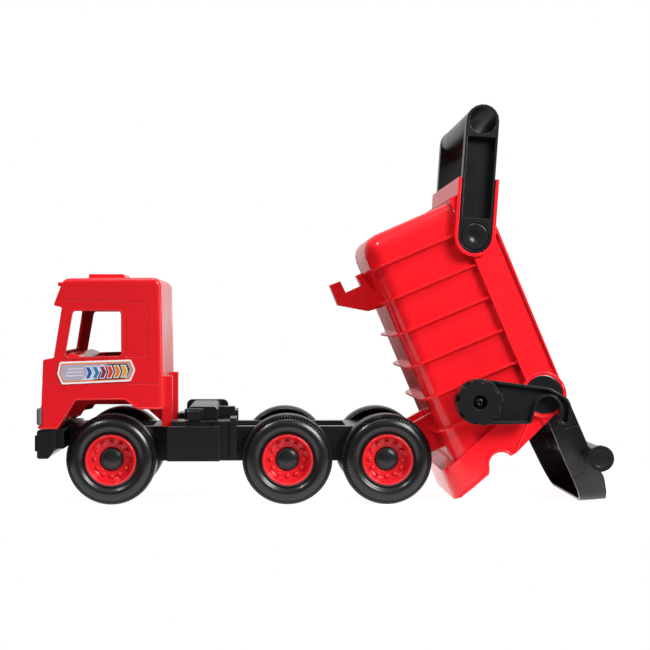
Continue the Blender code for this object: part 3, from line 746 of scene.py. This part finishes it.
def knob(side):
    """A scalloped knob: a flange, a grip, and a deep socket round the screw."""
    sign = SIDES[side]
    low, high = box_mm(f"latch_knob_{side}")
    centre = (low + high) / 2
    back, front = sorted((low.y, high.y), key=abs)
    rim, reach, scallop, first = (high.z - low.z) / 2, 20.6, 4.3, 36.0
    steps, pitch = 320, 360 / SCALLOPS
    grip_line = []
    for k in range(steps):
        angle = math.tau * k / steps + math.radians(first)
        off = math.radians((k * 360 / steps + pitch / 2) % pitch - pitch / 2)
        across = reach * math.sin(off)
        radius = rim
        if abs(across) < scallop:
            radius = min(rim, reach * math.cos(off) - math.sqrt(scallop**2 - across**2))
        grip_line.append(Vector((centre.x + radius * math.cos(angle), centre.z + radius * math.sin(angle))))
    grip = prism(grip_line, *sorted((back, front)), "grip")
    flange = lathe([(0.0, 0.0), (0.0, -2.0), (rim - 0.9, -2.0), (rim - 0.4, -1.5), (rim - 0.4, 0.0)], 96,
                   Vector((centre.x, back + sign * 2.0, centre.z)) * MM, sign)
    combine(grip, flange, "UNION")
    socket = lathe([(0.0, 6.0), (6.3, 6.0), (6.3, -6.4), (0.0, -6.4)], 48,
                   Vector((centre.x, front, centre.z)) * MM, sign)
    combine(grip, socket)
    softened(grip, 0.5, 3)
    dress(grip, f"latch_knob_{side}_grip", BLACK, f"latch_{side}")
    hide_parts(f"latch_knob_{side}")


def screw(side):
    """The screw that a latch turns on: a hollow-ended boss on a flange, and its shank."""
    sign = SIDES[side]
    low, high = box_mm(f"latch_screw_{side}")
    inner, outer = sorted((low.y, high.y), key=abs)
    reach = abs(outer - inner)
    profile = fillet([
        (0.0, -3.5), (1.1, -3.5), (1.1, -0.9), (1.4, -0.6, 0.1), (2.4, -0.6, 0.3), (2.8, -1.1, 0.2),
        (2.8, -4.0), (4.8, -4.2, 0.2), (4.8, -5.2), (3.0, -5.2), (3.0, -reach), (0.0, -reach),
    ])
    place = Vector(((low.x + high.x) / 2, outer, (low.z + high.z) / 2)) * MM
    made = dress(lathe(profile, 48, place, sign), f"latch_screw_{side}_boss", BLACK, "bed")
    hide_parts(f"latch_screw_{side}")


def on_bed(piece):
    """Carry a piece drawn with the bed lying flat to where the bed is."""
    piece.data.transform(BED)
    return piece


def pin_head(side):
    """A handle pin: a wide flat head with a dimple in its middle, and a shank."""
    sign = SIDES[side]
    low, high = box_mm(f"handle_pin_{side}")
    inner, outer = sorted((low.y, high.y), key=abs)
    reach = abs(outer - inner)
    rim = (high.z - low.z) / 2
    profile = fillet([
        (0.0, -1.1), (1.6, -1.0), (3.2, -0.6), (4.6, -0.2), (6.0, 0.0), (rim - 0.9, 0.0), (rim, -0.9, 0.3),
        (rim, -3.3), (3.0, -3.3), (3.0, -reach), (0.0, -reach),
    ])
    place = Vector(((low.x + high.x) / 2, outer, (low.z + high.z) / 2)) * MM
    pin = dress(lathe(profile, 64, place, sign), f"handle_pin_{side}_head", BLACK, "bed")
    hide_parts(f"handle_pin_{side}")


def round_about(centre, radius, angles):
    """The points of the bed's drawing at a radius from a centre, at the angles given in degrees."""
    turns = [math.radians(angle) for angle in angles]
    return [(centre[0] + radius * math.cos(turn), centre[1] + radius * math.sin(turn)) for turn in turns]


def wall_at(height):
    """How far out the proud rear end of the tub is at a height in the bed's drawing."""
    foot, rise, spread_out = 29.4, 100.6, 8.3
    return 68.5 + (height - foot) * spread_out / rise


def bed_lips(side):
    """The raised beads along the tub's rear edge, round its notch, and round the tailgate's disc."""
    sign = SIDES[side]
    notch = round_about(PEG, PEG_NOTCH_R, range(110, 267, 12))
    edge = [(20.4, 115.6), (44.0, 92.0), *notch, (50.6, 64.4), (61.8, 33.4)]
    run = [(x - 0.9, sign * wall_at(z), z - 0.3) for x, z in edge]
    dress(on_bed(bead(run, 1.0)), f"rear_lip_{side}", RED, "bed")
    disc = round_about(GATE_PIVOT, GATE_LIP_R, range(0, 360, 5))
    ring = [(x, sign * 80.05, z) for x, z in disc]
    dress(on_bed(bead(ring, 0.6, closed=True)), f"pivot_lip_{side}", RED, "bed")


def gate_lines(side):
    """The step above the tailgate's foot, a fine rib across its side, and the plug in its peg's end."""
    sign = SIDES[side]
    reach = box_mm("tailgate")[1].y
    hinge = Vector((GATE_PIVOT[0], 0.0, GATE_PIVOT[1]))
    turn = BED @ Matrix.Translation(hinge * MM) @ Matrix.Rotation(math.radians(-GATE_OPEN), 4, "Y")
    for name, path, radius in (
        ("step", ((25.2, -74.6), (31.2, -71.2), (38.0, -66.0), (42.6, -61.0)), 0.7),
        ("rib", ((18.5, -31.5), (31.2, -29.0)), 0.45),
    ):
        run = [(x, sign * (64.15 + (GATE_PIVOT[1] + z - 35.0) * 0.08), z) for x, z in path]
        line = bead(run, radius)
        line.data.transform(turn)
        dress(line, f"gate_{name}_{side}", BLACK, "tailgate")
    dome = [
        (0.0, 0.0), (4.0, -0.1), (8.0, -0.45), (PEG_END_R, -0.7), (PEG_END_R, -2.4), (0.0, -2.4),
    ]
    peg = Vector((PEG[0] - GATE_PIVOT[0], sign * reach, PEG[1] - GATE_PIVOT[1]))
    plug = lathe(dome, 64, peg * MM, sign)
    plug.data.transform(turn)
    dress(plug, f"peg_plug_{side}", BLACK, "tailgate")


def build_bed():
    """The tub, the handle and the tailgate, and each side's pin, latch, lips and gate lines."""
    refined("bed_tub", RED, 0.45, "bed")
    refined("carry_handle", BLACK, 0.5, "bed")
    refined("tailgate", BLACK, 0.6, "tailgate")
    for side in SIDES:
        pin_head(side)
        refined(f"latch_lever_{side}", BLACK, 0.6, f"latch_{side}")
        screw(side)
        knob(side)
        bed_lips(side)
        gate_lines(side)


def build_chassis():
    """The black girder and its fittings, the lock bolt, and the steel rods."""
    for name in ("chassis_frame", "front_bumper", "tool_box_left", "tool_box_right", "lock_bracket"):
        refined(name, BLACK, 0.6, "chassis")
    refined("bed_lock_bolt", BLACK, 0.6, "lock_bolt")
    for name in ("tipping_pin", *(f"{axle}_axle" for axle in AXLES)):
        refined(name, STEEL, 0.4, "chassis")


# ---------------------------------------------------------------- studio


def room():
    """A room that looks plain white, but lights the truck from behind and above, and less past the cab."""
    world = bpy.data.worlds.new("white_room")
    world.use_nodes = True
    tree = world.node_tree
    seen = tree.nodes["Background"]
    seen.inputs["Color"].default_value = (1.0, 1.0, 1.0, 1.0)
    seen.inputs["Strength"].default_value = 1.0
    lit = node(tree, "ShaderNodeBackground")
    split = node(tree, "ShaderNodeSeparateXYZ")
    tree.links.new(node(tree, "ShaderNodeTexCoord").outputs["Generated"], split.inputs["Vector"])
    behind = spread(tree, split.outputs["Y"], 0.12, 1.0, -0.2, 0.5)
    above = spread(tree, split.outputs["Z"], 0.0, 0.6, 0.2, 0.9)
    below = spread(tree, split.outputs["Z"], 0.06, 1.0, -0.12, 0.0)
    past_cab = spread(tree, split.outputs["X"], 0.5, 1.0, -0.30, 0.05)
    glow = maths(tree, "MAXIMUM", behind, above)
    for dimmed in (below, past_cab):
        glow = maths(tree, "MULTIPLY", glow, dimmed)
    tree.links.new(glow, lit.inputs["Strength"])
    path = node(tree, "ShaderNodeLightPath")
    mix = node(tree, "ShaderNodeMixShader")
    tree.links.new(path.outputs["Is Camera Ray"], mix.inputs["Fac"])
    tree.links.new(lit.outputs["Background"], mix.inputs[1])
    tree.links.new(seen.outputs["Background"], mix.inputs[2])
    tree.links.new(mix.outputs["Shader"], tree.nodes["World Output"].inputs["Surface"])
    bpy.context.scene.world = world


def light_table():
    """A pale, faintly glowing floor, so that only the contact shadows show."""
    bpy.ops.mesh.primitive_plane_add(size=1.0)
    floor = bpy.context.object
    floor.scale = (0.70, 0.42, 1.0)
    floor.name = "studio_floor"
    pale = bpy.data.materials.new("light_table")
    pale.use_nodes = True
    shader = pale.node_tree.nodes["Principled BSDF"]
    shader.inputs["Base Color"].default_value = (0.22, 0.22, 0.22, 1.0)
    shader.inputs["Roughness"].default_value = 0.9
    shader.inputs["Specular IOR Level"].default_value = 0.1
    shader.inputs["Emission Color"].default_value = (1.0, 1.0, 1.0, 1.0)
    shader.inputs["Emission Strength"].default_value = 0.95
    floor.data.materials.append(pale)


def lamps():
    """Four round lamps: each a name, its azimuth and elevation in degrees, its size in metres, its power."""
    distance = 1.7
    aim = Vector((DATUM * MM + 0.05, 0.0, 0.14))
    for name, turn, lift, size, power in (
        ("key", 42.0, 30.0, 0.8, 34.0),
        ("spark", -45.0, 45.0, 0.12, 9.0),
        ("ceiling", 10.0, 86.0, 0.8, 18.0),
        ("flank", 86.0, 5.0, 0.6, 10.0),
    ):
        light = bpy.data.lights.new(name, "AREA")
        light.shape = "DISK"
        light.size = size
        light.energy = power
        lamp = bpy.data.objects.new(name, light)
        turn, lift = math.radians(turn), math.radians(lift)
        away = Vector((math.sin(turn) * math.cos(lift), -math.cos(turn) * math.cos(lift), math.sin(lift)))
        lamp.location = aim + distance * away
        lamp.rotation_euler = (-away).to_track_quat("-Z", "Y").to_euler()
        bpy.context.scene.collection.objects.link(lamp)


def camera():
    """A long lens square to the truck's left side, level with its chassis and aimed near the front."""
    data = bpy.data.cameras.new("camera")
    data.sensor_width = 36.0
    data.lens = 70.4
    data.shift_x = 0.0792
    data.clip_end = 100.0
    eye = bpy.data.objects.new("camera", data)
    eye.location = (DATUM * MM, -1.1535, 0.1628)
    eye.rotation_euler = (math.radians(89.595), 0.0, math.radians(-0.7))
    bpy.context.scene.collection.objects.link(eye)
    bpy.context.scene.camera = eye
    bpy.context.scene.view_settings.view_transform = "Standard"


camera()
for axle in AXLES:
    for side in SIDES:
        build_wheel(axle, side)
build_cab()
build_chassis()
build_bed()
for side in SIDES:
    label_print(side)
room()
light_table()
lamps()
